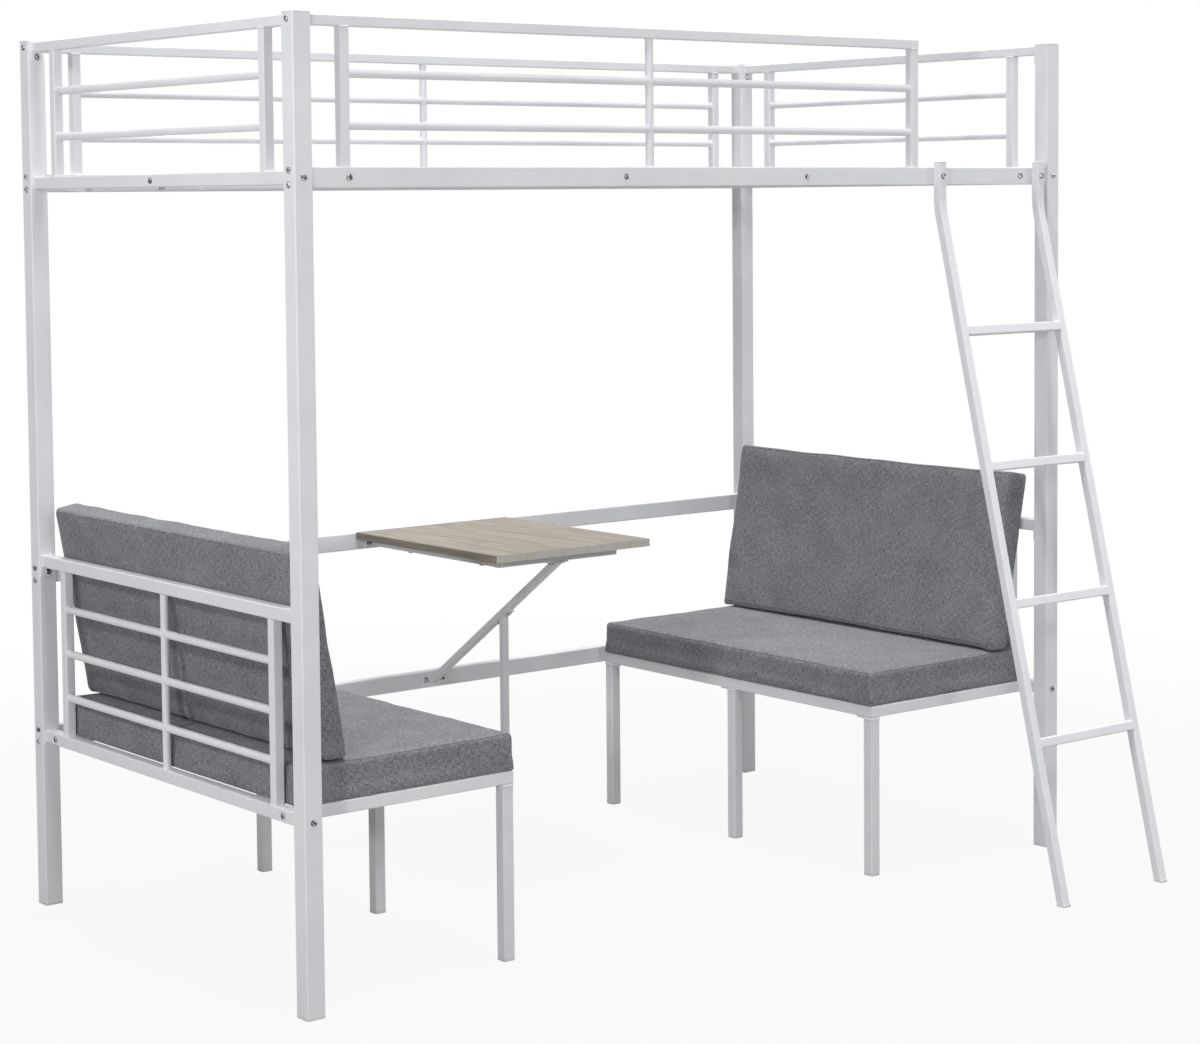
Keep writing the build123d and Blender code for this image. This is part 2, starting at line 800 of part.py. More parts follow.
# Bolts through the side rails and the end rails that hold the deck
def deck_fasteners():
    bolts = []
    blocks = []
    reach = rail_depth + insert_length
    drop = deck_level - deck_centre
    for x in deck_bolt_places():
        for y, facing in ((front_post_y, -1), (back_post_y, 1)):
            outer = y + facing * rail_depth / 2
            inner = y - facing * rail_depth / 2
            bolts.append(bolt((x, outer, deck_level), (0, facing, 0), reach))
            blocks.append(insert((x, inner, deck_centre), (0, -facing, 0), frame_tube, frame_tube, (drop,)))
    reach = frame_tube + insert_length
    for sign in (-1, 1):
        outer = sign * (post_centre_x + frame_tube / 2)
        inner = sign * (post_centre_x - frame_tube / 2)
        bolts.append(bolt((outer, middle_y, deck_level), (sign, 0, 0), reach))
        blocks.append(insert((inner, middle_y, deck_centre), (-sign, 0, 0), frame_tube, frame_tube, (drop,)))
    return bolts, blocks


# Bolts of one seat: two through the end panel and one through each leg's flange plate
def seat_fasteners():
    bolts = []
    blocks = []
    nuts = []
    outer = -post_centre_x - frame_tube / 2
    for y in (seat_front_tube_y, seat_back_tube_y):
        bolts.append(bolt((outer, y, seat_level), (-1, 0, 0), frame_tube + insert_length))
        blocks.append(insert((end_rail_inner_x, y, seat_level), (1, 0, 0), frame_tube, frame_tube))
    low = seat_level - frame_tube / 2
    for _, y in leg_places():
        reach = plate_thickness + tube_wall + nut_height
        bolts.append(bolt((seat_edge_x, y, low - plate_thickness), (0, 0, -1), reach))
        nuts.append(nut((seat_edge_x, y, low + tube_wall), (0, 0, 1)))
    return bolts, blocks, nuts


# Bolts of the table's tabs, brace and leg, and the screws that hold the board
def table_fasteners():
    bolts = []
    nuts = []
    reach = plate_thickness + tube_wall + nut_height
    for sign in (-1, 1):
        x = sign * table_tab_bolt_x
        z = table_frame_level
        bolts.append(bolt((x, rear_rail_face - plate_thickness, z), (0, -1, 0), reach))
        nuts.append(nut((x, rear_rail_face + tube_wall, z), (0, 1, 0)))
    for x in brace_low_bolts():
        bolts.append(bolt((x, rear_rail_face - plate_thickness, seat_level), (0, -1, 0), reach))
        nuts.append(nut((x, rear_rail_face + tube_wall, seat_level), (0, 1, 0)))
    for x in brace_top_bolts():
        low = table_frame_low
        bolts.append(bolt((x, table_front_tube_y, low - plate_thickness), (0, 0, -1), reach))
        nuts.append(nut((x, table_front_tube_y, low + tube_wall), (0, 0, 1)))
    for place in leg_plate_bolts():
        head = place + brace_under * plate_thickness
        inside = place - brace_under * tube_wall
        bolts.append(bolt(head, brace_under, reach))
        nuts.append(nut(inside, -brace_under))
    return bolts, nuts


def board_screws():
    reach = guard_tube + screw_in_board
    return [bolt((x, y, table_frame_low), (0, 0, -1), reach) for x, y in table_screw_places]


# Bolts through the tops of the stiles into the front side rail
def ladder_fasteners():
    bolts = []
    nuts = []
    reach = guard_tube + tube_wall + nut_height
    face = front_post_y - rail_depth / 2
    for x in stile_places:
        bolts.append(bolt((x, stile_y - guard_tube / 2, deck_level), (0, -1, 0), reach))
        nuts.append(nut((x, face + tube_wall, deck_level), (0, 1, 0)))
    return bolts, nuts


# The front side rail also has the holes of the ladder's bolts
def front_side_rail():
    rail = side_rail(front_post_y)
    face = front_post_y - rail_depth / 2
    for x in stile_places:
        rail -= drill((x, face - overrun, deck_level), (x, face + tube_wall + overrun, deck_level))
    return rail


# Write the posts with their caps and feet
front_levels = side_bolt_levels(True, False)
rear_levels = side_bolt_levels(True, True)
save("front_left_post", post(-post_centre_x, front_post_y, 1, front_levels))
save("rear_left_post", post(-post_centre_x, back_post_y, -1, rear_levels))
save("rear_right_post", post(post_centre_x, back_post_y, -1, rear_levels))
save("front_right_post", post(post_centre_x, front_post_y, 1, side_bolt_levels(False, False)))
post_spots = [(x, y) for x in (-post_centre_x, post_centre_x) for y in (front_post_y, back_post_y)]
save("post_top_caps", *[top_cap(x, y, post_top, post_size, post_wall) for x, y in post_spots])
save("post_feet", *[foot(x, y, post_size, post_wall) for x, y in post_spots])

# Write the deck, its guards and the rails
save("front_side_rail", front_side_rail())
save("rear_side_rail", side_rail(back_post_y))
save("front_guard", *front_guard())
save("rear_guard", *rear_guard())
upper_panel = upper_end_panel()
save("left_upper_panel", *upper_panel)
save("right_upper_panel", *[other_end(piece) for piece in upper_panel])
lower_panel = lower_end_panel()
save("left_lower_panel", *lower_panel)
save("right_lower_panel", *[other_end(piece) for piece in lower_panel])
save("deck_centre_beam", deck_centre_beam())
side_group, middle_group = slat_places()
save("deck_slats_left", *slats(side_group))
save("deck_slats_middle", *slats(middle_group))
save("deck_slats_right", *slats([-x for x in side_group]))
tab_places = [sign * table_tab_bolt_x for sign in (-1, 1)]
save("rear_table_rail", rear_rail(table_rail_level, tab_places, table_frame_level))
save("rear_seat_rail", rear_rail(seat_level, brace_low_bolts(), seat_level))

# Write the two seats with their cushions
legs = leg_places()
feet = [foot(seat_edge_x, leg_y, frame_tube, tube_wall) for leg_y, _ in legs]
save("seat_leg_feet", *feet, *[other_end(piece) for piece in feet])
frame = seat_frame()
seat_tubes = seat_slat_tubes()
for side, turned in (("left", lambda piece: piece), ("right", other_end)):
    save(f"{side}_seat_frame", *[turned(piece) for piece in frame])
    save(f"{side}_seat_slats", *[turned(piece) for piece in seat_tubes])
    for place, (leg_y, bolt_y) in zip(("front", "middle", "rear"), legs):
        save(f"{side}_seat_{place}_leg", *[turned(piece) for piece in seat_leg(leg_y, bolt_y)])
    save(f"{side}_seat_cushion", turned(seat_cushion()))
    save(f"{side}_back_cushion", turned(back_cushion()))

# Write the table
save("table_top", table_top())
save("table_frame", *table_frame())
save("table_brace", *table_brace())
save("table_leg", *table_leg())
save("table_leg_foot", foot(0, leg_joint.Y, brace_tube, tube_wall))

# Write the ladder
save("ladder_left_stile", stile(stile_places[0]))
save("ladder_right_stile", stile(stile_places[1]))
for number in range(ladder_rungs):
    save(f"ladder_rung_{number + 1}", rung(number))
save("ladder_top_caps", *[top_cap(x, stile_y, stile_top, guard_tube, tube_wall) for x in stile_places])
save("ladder_feet", *[ladder_foot(x) for x in stile_places])

# Write the fasteners
side_bolts, side_blocks = post_side_fasteners()
end_bolts, end_blocks = post_end_fasteners()
flange_bolts, flange_nuts = flange_fasteners()
deck_bolts, deck_blocks = deck_fasteners()
seat_bolts, seat_blocks, seat_nuts = seat_fasteners()
table_bolts, table_nuts = table_fasteners()
ladder_bolts, ladder_nuts = ladder_fasteners()
save("rail_bolts", *side_bolts)
save("end_panel_bolts", *end_bolts)
save("panel_flange_bolts", *flange_bolts)
save("deck_bolts", *deck_bolts)
save("seat_bolts", *seat_bolts, *[other_end(piece) for piece in seat_bolts])
save("table_bolts", *table_bolts)
save("board_screws", *board_screws())
save("ladder_bolts", *ladder_bolts)
seat_blocks += [other_end(piece) for piece in seat_blocks]
seat_nuts += [other_end(piece) for piece in seat_nuts]
save("threaded_blocks", *side_blocks, *end_blocks, *deck_blocks, *seat_blocks)
save("nuts", *flange_nuts, *seat_nuts, *table_nuts, *ladder_nuts)
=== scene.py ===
import json
from math import cos, pi, radians, sin

import bmesh
import bpy
import numpy as np
from mathutils import Matrix, Vector
from mathutils.bvhtree import BVHTree


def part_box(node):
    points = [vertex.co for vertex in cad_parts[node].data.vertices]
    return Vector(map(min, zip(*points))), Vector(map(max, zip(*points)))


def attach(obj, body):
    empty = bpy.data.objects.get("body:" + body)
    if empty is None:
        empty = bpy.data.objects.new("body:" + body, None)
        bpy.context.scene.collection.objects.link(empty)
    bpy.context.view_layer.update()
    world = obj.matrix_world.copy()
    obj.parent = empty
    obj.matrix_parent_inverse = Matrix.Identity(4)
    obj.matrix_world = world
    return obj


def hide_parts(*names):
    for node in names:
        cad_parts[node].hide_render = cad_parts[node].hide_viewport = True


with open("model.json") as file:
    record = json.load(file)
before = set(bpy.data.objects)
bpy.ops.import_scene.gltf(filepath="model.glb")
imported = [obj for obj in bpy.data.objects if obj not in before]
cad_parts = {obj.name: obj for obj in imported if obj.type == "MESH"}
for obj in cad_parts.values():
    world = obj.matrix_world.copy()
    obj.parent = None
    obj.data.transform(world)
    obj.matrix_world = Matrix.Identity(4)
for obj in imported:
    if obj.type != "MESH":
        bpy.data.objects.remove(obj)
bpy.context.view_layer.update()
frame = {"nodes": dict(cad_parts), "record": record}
scene = bpy.context.scene
nodes = frame["nodes"]
print("frame loaded:", len(nodes), "nodes")


# shared helpers

def toLinear(hexColour):
    parts = [int(hexColour[i:i + 2], 16) / 255 for i in (1, 3, 5)]
    return [p / 12.92 if p <= 0.04045 else ((p + 0.055) / 1.055) ** 2.4 for p in parts] + [1.0]


def addNode(tree, kind, settings=None, inputs=None):
    node = tree.nodes.new(kind)
    for name, value in (settings or {}).items():
        setattr(node, name, value)
    for name, value in (inputs or {}).items():
        if isinstance(value, bpy.types.NodeSocket):
            tree.links.new(value, node.inputs[name])
        else:
            node.inputs[name].default_value = value
    return node


def newMaterial(name):
    material = bpy.data.materials.new(name)
    material.use_nodes = True
    tree = material.node_tree
    tree.nodes.clear()
    return material, tree


def blendColours(tree, factor, stops):
    ramp = addNode(tree, "ShaderNodeValToRGB", inputs={"Fac": factor})
    elements = ramp.color_ramp.elements
    while len(elements) < len(stops):
        elements.new(0.5)
    for element, (position, colour) in zip(elements, stops):
        element.position = position
        element.color = toLinear(colour)
    return ramp.outputs["Color"]


def linkObject(name, mesh):
    made = bpy.data.objects.new(name, mesh)
    scene.collection.objects.link(made)
    return made


# camera: solved from the posts and rails of the photograph

photoCamera = {
    "place": (-3.4581, -4.2915, 1.4672),
    "turn": 38.551,       # degrees from +Y towards +X
    "down": 3.653,
    "roll": -0.492,
    "focal": 2629.4,      # in pixels of the photograph
    "photoWide": 1200,
    "sensor": 36,
    "shift": -0.13,
}


def placeCamera(c):
    turn, down, roll = radians(c["turn"]), radians(c["down"]), radians(c["roll"])
    ahead = Vector((sin(turn) * cos(down), cos(turn) * cos(down), -sin(down)))
    side = Vector((cos(turn), -sin(turn), 0))
    up = side.cross(ahead)
    right = side * cos(roll) + up * sin(roll)
    top = up * cos(roll) - side * sin(roll)
    data = bpy.data.cameras.new("photoView")
    data.sensor_fit = "HORIZONTAL"
    data.sensor_width = c["sensor"]
    data.lens = c["focal"] / c["photoWide"] * c["sensor"]
    data.shift_y = c["shift"]
    data.clip_end = 60
    camera = linkObject("photoView", data)
    axes = Matrix((right, top, -ahead)).transposed()
    camera.matrix_world = Matrix.Translation(c["place"]) @ axes.to_4x4()
    scene.camera = camera


placeCamera(photoCamera)
scene.view_settings.view_transform = "Standard"
print("camera placed")


# light and floor: a white studio; the low lamp at the left front throws the uprights' shadows on the left
# back cushion, one stands near the left end and one square to the front, one fills from the right, one hangs
# high over the bed and one stands behind it

studio = {
    "ambient": 0.16,
    "lamps": {
        "keyLight": {"place": (-4.9, -3.2, 1.8), "aim": (-0.6, 0.1, 0.9), "size": 0.36, "power": 67},
        "leftLight": {"place": (-3.7, -0.5, 2.7), "aim": (0.0, -0.1, 0.7), "size": 0.5, "power": 35},
        "frontLight": {"place": (-1.0, -5.2, 3.2), "aim": (0.2, 0.0, 0.7), "size": 0.8, "power": 50},
        "fillLight": {"place": (3.4, -3.2, 2.1), "aim": (0.6, 0.0, 0.8), "size": 2.2, "power": 34},
        "topLight": {"place": (0.0, -0.5, 10.0), "aim": (0.0, 0.0, 0.0), "size": 4.4, "power": 840},
        "rearLight": {"place": (1.2, 3.6, 4.2), "aim": (0.0, 0.0, 0.4), "size": 2.2, "power": 70},
    },
    "floorSize": 24.0, "floorPaper": "#9C9C9C", "floorGlow": 0.92, "fadeFrom": 1.6, "fadeTo": 4.2,
}


def seenDirectly(tree):
    path = addNode(tree, "ShaderNodeLightPath")
    first = addNode(tree, "ShaderNodeMath", {"operation": "MAXIMUM"},
                    {0: path.outputs["Is Camera Ray"], 1: path.outputs["Is Glossy Ray"]})
    both = addNode(tree, "ShaderNodeMath", {"operation": "MAXIMUM"},
                   {0: first.outputs[0], 1: path.outputs["Is Transmission Ray"]})
    return both.outputs[0]


def softLamp(name, place, aim, size, power):
    data = bpy.data.lights.new(name, "AREA")
    data.shape = "DISK"
    data.size = size
    data.energy = power
    lamp = linkObject(name, data)
    way = Vector(aim) - Vector(place)
    lamp.matrix_world = Matrix.Translation(place) @ way.to_track_quat("-Z", "Y").to_matrix().to_4x4()


def buildStudio(s):
    world = bpy.data.worlds.new("whiteStudio")
    scene.world = world
    world.use_nodes = True
    tree = world.node_tree
    tree.nodes.clear()
    dim = addNode(tree, "ShaderNodeBackground", inputs={"Color": (1, 1, 1, 1), "Strength": s["ambient"]})
    white = addNode(tree, "ShaderNodeBackground", inputs={"Color": (1, 1, 1, 1), "Strength": 1.0})
    mixed = addNode(tree, "ShaderNodeMixShader",
                    inputs={0: seenDirectly(tree), 1: dim.outputs[0], 2: white.outputs[0]})
    addNode(tree, "ShaderNodeOutputWorld", inputs={"Surface": mixed.outputs[0]})
    for name, lamp in s["lamps"].items():
        softLamp(name, lamp["place"], lamp["aim"], lamp["size"], lamp["power"])
    # paper sweep: matt grey to the lamps and nearly white to the camera, so that only a faint shadow near
    # the bed is left on it
    paper, tree = newMaterial("paperSweep")
    matt = addNode(tree, "ShaderNodeBsdfDiffuse", inputs={"Color": toLinear(s["floorPaper"])})
    glow = addNode(tree, "ShaderNodeEmission", inputs={"Color": (1, 1, 1, 1), "Strength": 1.0})
    place = addNode(tree, "ShaderNodeTexCoord").outputs["Object"]
    away = addNode(tree, "ShaderNodeVectorMath", {"operation": "LENGTH"}, {0: place})
    fade = addNode(tree, "ShaderNodeMapRange", {"interpolation_type": "SMOOTHSTEP"}, {
        "Value": away.outputs["Value"], "From Min": s["fadeFrom"], "From Max": s["fadeTo"],
        "To Min": s["floorGlow"], "To Max": 1.0})
    share = addNode(tree, "ShaderNodeMath", {"operation": "MULTIPLY"},
                    {0: seenDirectly(tree), 1: fade.outputs["Result"]})
    both = addNode(tree, "ShaderNodeMixShader",
                   inputs={0: share.outputs[0], 1: matt.outputs[0], 2: glow.outputs[0]})
    addNode(tree, "ShaderNodeOutputMaterial", inputs={"Surface": both.outputs[0]})
    half = s["floorSize"] / 2
    mesh = bpy.data.meshes.new("studioFloor")
    corners = [(-half, -half, 0), (half, -half, 0), (half, half, 0), (-half, half, 0)]
    mesh.from_pydata(corners, [], [(0, 1, 2, 3)])
    mesh.materials.append(paper)
    linkObject("studioFloor", mesh)


buildStudio(studio)
print("studio lit")


# powder coat on steel tube: baked polyester powder, satin, with a faint orange peel that breaks up the
# reflections; real peel is about 1 mm across, drawn at 2.5 mm so that it shows
powderLook = {
    "white": "#EBECEF", "shade": "#E4E5E9", "roughLow": 0.40, "roughHigh": 0.52,
    "peelMm": 2.5, "peelDeepMm": 0.05, "cloudMm": 160,
}


def makePowderCoat(p):
    material, tree = newMaterial("satinPowderCoatedSteel")
    place = addNode(tree, "ShaderNodeTexCoord").outputs["Object"]
    peel = addNode(tree, "ShaderNodeTexNoise",
                   inputs={"Vector": place, "Scale": 1000 / p["peelMm"], "Detail": 1.0, "Roughness": 0.4})
    cloud = addNode(tree, "ShaderNodeTexNoise",
                    inputs={"Vector": place, "Scale": 1000 / p["cloudMm"], "Detail": 3.0, "Roughness": 0.6})
    colour = blendColours(tree, cloud.outputs["Fac"], [(0.35, p["shade"]), (0.65, p["white"])])
    rough = addNode(tree, "ShaderNodeMapRange",
                    inputs={"Value": cloud.outputs["Fac"], "From Min": 0.3, "From Max": 0.7,
                            "To Min": p["roughLow"], "To Max": p["roughHigh"]})
    bump = addNode(tree, "ShaderNodeBump", inputs={
        "Height": peel.outputs["Fac"], "Strength": 0.35, "Distance": p["peelDeepMm"] / 1000})
    shader = addNode(tree, "ShaderNodeBsdfPrincipled", inputs={
        "Base Color": colour, "Roughness": rough.outputs["Result"], "Normal": bump.outputs["Normal"],
        "IOR": 1.5, "Metallic": 0.0})
    addNode(tree, "ShaderNodeOutputMaterial", inputs={"Surface": shader.outputs["BSDF"]})
    return material


# moulded polyethylene caps and feet: matt, a fine spark-eroded grain, a little greyer than the paint;
# the grain is 0.5 mm and is drawn at 1.4 mm
plasticLook = {"white": "#E0E1E3", "grey": "#D3D4D7", "grainMm": 1.4, "grainDeepMm": 0.06, "rough": 0.6}


def makePlastic(p):
    material, tree = newMaterial("mouldedPolyethylene")
    place = addNode(tree, "ShaderNodeTexCoord").outputs["Object"]
    grain = addNode(tree, "ShaderNodeTexNoise",
                    inputs={"Vector": place, "Scale": 1000 / p["grainMm"], "Detail": 2.0})
    colour = blendColours(tree, grain.outputs["Fac"], [(0.3, p["grey"]), (0.7, p["white"])])
    bump = addNode(tree, "ShaderNodeBump", inputs={
        "Height": grain.outputs["Fac"], "Strength": 0.4, "Distance": p["grainDeepMm"] / 1000})
    shader = addNode(tree, "ShaderNodeBsdfPrincipled", inputs={
        "Base Color": colour, "Roughness": p["rough"], "Normal": bump.outputs["Normal"], "IOR": 1.51})
    addNode(tree, "ShaderNodeOutputMaterial", inputs={"Surface": shader.outputs["BSDF"]})
    return material


# zinc plated bolt: a grey metal with dark and bright blotches, which are painted light: the bright ones are
# painted highlights and the dark ones painted dark reflections; they stand in for the small highlights that
# bolts of this size show
zincLook = {
    "dark": "#3C3D40", "light": "#B9BABE", "glintSpotMm": 5.0, "deepMm": 0.05,
    "roughLow": 0.18, "roughHigh": 0.34,
}


def makeZinc(p):
    material, tree = newMaterial("zincPlatedSteel")
    place = addNode(tree, "ShaderNodeTexCoord").outputs["Object"]
    glintSpots = addNode(tree, "ShaderNodeTexNoise",
                     inputs={"Vector": place, "Scale": 1000 / p["glintSpotMm"], "Detail": 4.0, "Roughness": 0.6})
    # painted highlights and painted dark reflections: the noise blends the dark and bright metal colours in
    # spots
    colour = blendColours(tree, glintSpots.outputs["Fac"], [(0.42, p["dark"]), (0.58, p["light"])])
    rough = addNode(tree, "ShaderNodeMapRange", inputs={
        "Value": glintSpots.outputs["Fac"], "To Min": p["roughLow"], "To Max": p["roughHigh"]})
    bump = addNode(tree, "ShaderNodeBump", inputs={
        "Height": glintSpots.outputs["Fac"], "Strength": 0.2, "Distance": p["deepMm"] / 1000})
    shader = addNode(tree, "ShaderNodeBsdfPrincipled", inputs={
        "Base Color": colour, "Roughness": rough.outputs["Result"], "Normal": bump.outputs["Normal"],
        "Metallic": 0.9})
    addNode(tree, "ShaderNodeOutputMaterial", inputs={"Surface": shader.outputs["BSDF"]})
    return material


# oak-look melamine on chipboard: a printed film with long fine streaks from front to back, short dark
# pores, and a paler greyish edge band at the front and back, where the streaks end in upright ticks
boardLook = {
    "light": "#9C9183", "middle": "#877D70", "dark": "#6A6156", "pore": "#4C453C", "band": "#E0DDD9",
    "streakMm": (300, 9.0), "fineMm": (110, 2.4), "poreMm": (22, 1.3), "deepMm": 0.08, "rough": 0.6,
}


def makeBoard(p):
    material, tree = newMaterial("oakMelamineBoard")
    facing = addNode(tree, "ShaderNodeSeparateXYZ", inputs={
        "Vector": addNode(tree, "ShaderNodeTexCoord").outputs["Normal"]})
    endFace = addNode(tree, "ShaderNodeMath", {"operation": "ABSOLUTE"}, {0: facing.outputs["Y"]})
    side = addNode(tree, "ShaderNodeMath", {"operation": "SUBTRACT"}, {0: 1.0, 1: endFace.outputs[0]})
    at = addNode(tree, "ShaderNodeSeparateXYZ", inputs={
        "Vector": addNode(tree, "ShaderNodeTexCoord").outputs["Object"]})
    # the pattern stands still over the band's height, so that the streaks end in upright ticks there
    level = addNode(tree, "ShaderNodeMath", {"operation": "MULTIPLY"},
                    {0: at.outputs["Z"], 1: side.outputs[0]})
    place = addNode(tree, "ShaderNodeCombineXYZ", inputs={
        "X": at.outputs["X"], "Y": at.outputs["Y"], "Z": level.outputs[0]}).outputs[0]

    def stretched(size, seed, detail):
        along, across = size
        mapped = addNode(tree, "ShaderNodeMapping", inputs={
            "Vector": place, "Location": (seed, seed * 0.7, seed * 1.3),
            "Scale": (1000 / across, 1000 / along, 1000 / across)})
        return addNode(tree, "ShaderNodeTexNoise", inputs={
            "Vector": mapped.outputs["Vector"], "Scale": 1.0, "Detail": detail,
            "Roughness": 0.55, "Distortion": 0.3}).outputs["Fac"]

    streak = stretched(p["streakMm"], 3.1, 3.0)
    fine = stretched(p["fineMm"], 7.7, 2.0)
    pore = stretched(p["poreMm"], 12.4, 1.0)
    mixed = addNode(tree, "ShaderNodeMix", {"data_type": "FLOAT"}, {0: 0.4, 2: streak, 3: fine})
    ground = blendColours(tree, mixed.outputs[0],
                          [(0.36, p["dark"]), (0.48, p["middle"]), (0.62, p["light"])])
    poreShare = addNode(tree, "ShaderNodeMapRange", inputs={
        "Value": pore, "From Min": 0.60, "From Max": 0.72, "To Min": 0.0, "To Max": 0.5})
    colour = addNode(tree, "ShaderNodeMix", {"data_type": "RGBA"}, {
        0: poreShare.outputs["Result"], 6: ground, 7: toLinear(p["pore"])})
    bandShare = addNode(tree, "ShaderNodeMapRange", inputs={
        "Value": endFace.outputs[0], "From Min": 0.6, "From Max": 0.9, "To Min": 0.0, "To Max": 0.5})
    banded = addNode(tree, "ShaderNodeMix", {"data_type": "RGBA"}, {
        0: bandShare.outputs["Result"], 6: colour.outputs[2], 7: toLinear(p["band"])})
    bump = addNode(tree, "ShaderNodeBump", {"invert": True}, {
        "Height": poreShare.outputs["Result"], "Strength": 0.4, "Distance": p["deepMm"] / 1000})
    shader = addNode(tree, "ShaderNodeBsdfPrincipled", inputs={
        "Base Color": banded.outputs[2], "Roughness": p["rough"], "Normal": bump.outputs["Normal"],
        "IOR": 1.5})
    addNode(tree, "ShaderNodeOutputMaterial", inputs={"Surface": shader.outputs["BSDF"]})
    return material


# linen-look polyester, plain weave in heather grey: light and dark slubs run both ways along the
# piece's own UV map; the real threads are 0.7 mm apart and are drawn 1.3 mm apart so that they show
clothLook = {
    "dark": "#616267", "middle": "#7E7F83", "light": "#9FA0A4",
    "threadMm": 1.3, "slubMm": 11.0, "cloudMm": 90.0, "deepMm": 0.35, "rough": 0.95,
}


def makeCloth(p):
    material, tree = newMaterial("heatherLinenWeave")
    flat = addNode(tree, "ShaderNodeTexCoord").outputs["UV"]

    def threads(across, along, seed, detail=2.0):
        mapped = addNode(tree, "ShaderNodeMapping", inputs={
            "Vector": flat, "Location": (seed, seed * 1.7, 0), "Scale": (1000 / across, 1000 / along, 1)})
        return addNode(tree, "ShaderNodeTexNoise", {"noise_dimensions": "2D"}, {
            "Vector": mapped.outputs["Vector"], "Scale": 1.0, "Detail": detail,
            "Roughness": 0.65}).outputs["Fac"]

    warp = threads(p["threadMm"], p["slubMm"], 1.3)
    weft = threads(p["slubMm"], p["threadMm"], 8.6)
    cloud = threads(p["cloudMm"], p["cloudMm"], 4.2, 3.0)
    weave = addNode(tree, "ShaderNodeMath", {"operation": "ADD"}, {0: warp, 1: weft})
    tinted = addNode(tree, "ShaderNodeMath", {"operation": "MULTIPLY_ADD"}, {
        0: cloud, 1: 0.25, 2: weave.outputs[0]})
    spread = addNode(tree, "ShaderNodeMapRange", inputs={
        "Value": tinted.outputs[0], "From Min": 0.8, "From Max": 1.45, "To Min": 0.0, "To Max": 1.0})
    colour = blendColours(tree, spread.outputs["Result"],
                          [(0.15, p["dark"]), (0.5, p["middle"]), (0.85, p["light"])])
    bump = addNode(tree, "ShaderNodeBump", inputs={
        "Height": weave.outputs[0], "Strength": 0.5, "Distance": p["deepMm"] / 1000})
    shader = addNode(tree, "ShaderNodeBsdfPrincipled", inputs={
        "Base Color": colour, "Roughness": p["rough"], "Normal": bump.outputs["Normal"],
        "Specular IOR Level": 0.25, "Sheen Weight": 0.12, "Sheen Roughness": 0.5})
    addNode(tree, "ShaderNodeOutputMaterial", inputs={"Surface": shader.outputs["BSDF"]})
    return material


finishes = {
    "white_steel": makePowderCoat(powderLook),
    "white_plastic": makePlastic(plasticLook),
    "dark_zinc": makeZinc(zincLook),
    "board_wood": makeBoard(boardLook),
    "grey_fabric": makeCloth(clothLook),
}

for part in frame["record"]["subparts"]:
    for slot in nodes[part["node"]].material_slots:
        slot.material = finishes[part["material_slot"]]
print("materials on the CAD nodes")


# cushions: foam blocks in sewn covers, blown up a little by a cloth simulation, fitted to the space of
# their CAD solids; the seats lie flat on their frames and the backs stand on the seats
cushions = {
    "left_seat_cushion": {"body": "left_seat_pad", "lean": 0, "thin": 2, "seed": 11},
    "right_seat_cushion": {"body": "right_seat_pad", "lean": 0, "thin": 2, "seed": 12},
    "left_back_cushion": {"body": "left_back_pad", "lean": -10, "thin": 0, "seed": 13},
    "right_back_cushion": {"body": "right_back_pad", "lean": 10, "thin": 0, "seed": 14},
}
cushionMaking = {
    "startInset": 0.004, "edgeRound": 0.006, "voxel": 0.006, "pressure": 4.0, "frames": 20,
    "swellCap": 0.0028, "clear": 0.0003, "rippleHigh": 0.0010, "rippleLong": 0.085,
    "drawIn": 0.0030, "dome": 0.0010, "standClear": 0.0019, "standReach": 0.11, "rim": 0.008,
    "footHigh": 0.030, "footWide": 0.020, "spread": 0.006,
    "quality": 5, "mass": 0.3, "stretch": 30, "shear": 15, "bend": 2,
    "waves": 14, "flatShare": 0.35, "edgeReach": 0.035, "bottomBand": 0.0005,
    "seatMargin": 0.02, "dropFrom": 0.1, "sideShift": (1.7, 2.3),
}


def ownFrame(cushion):
    low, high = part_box(cushion)
    middle = (low + high) / 2
    return Matrix.Translation(middle) @ Matrix.Rotation(radians(cushions[cushion]["lean"]), 4, "Y")


def solidSpace(cushion, place):
    back = place.inverted()
    points = np.array([back @ v.co for v in nodes[cushion].data.vertices])
    return points.min(0), points.max(0)


def meshPoints(mesh):
    points = np.zeros(len(mesh.vertices) * 3)
    mesh.vertices.foreach_get("co", points)
    return points.reshape(-1, 3)


def startBlock(cushion, low, high, c):
    low, high = low + c["startInset"], high - c["startInset"]
    if cushions[cushion]["thin"] == 2:
        low[2] -= c["startInset"]
    work = bmesh.new()
    bmesh.ops.create_cube(work, size=1)
    for v in work.verts:
        v.co = Vector([low[i] + (v.co[i] + 0.5) * (high[i] - low[i]) for i in range(3)])
    bmesh.ops.bevel(work, geom=work.edges[:], offset=c["edgeRound"], segments=4, profile=0.5,
                    affect="EDGES", clamp_overlap=True)
    mesh = bpy.data.meshes.new(cushion + "Block")
    work.to_mesh(mesh)
    work.free()
    block = linkObject(cushion + "Block", mesh)
    remesh = block.modifiers.new("even", "REMESH")
    remesh.mode = "VOXEL"
    remesh.voxel_size = c["voxel"]
    fine = bpy.data.meshes.new_from_object(block.evaluated_get(bpy.context.evaluated_depsgraph_get()))
    bpy.data.objects.remove(block)
    return linkObject(cushion + "Swelling", fine)


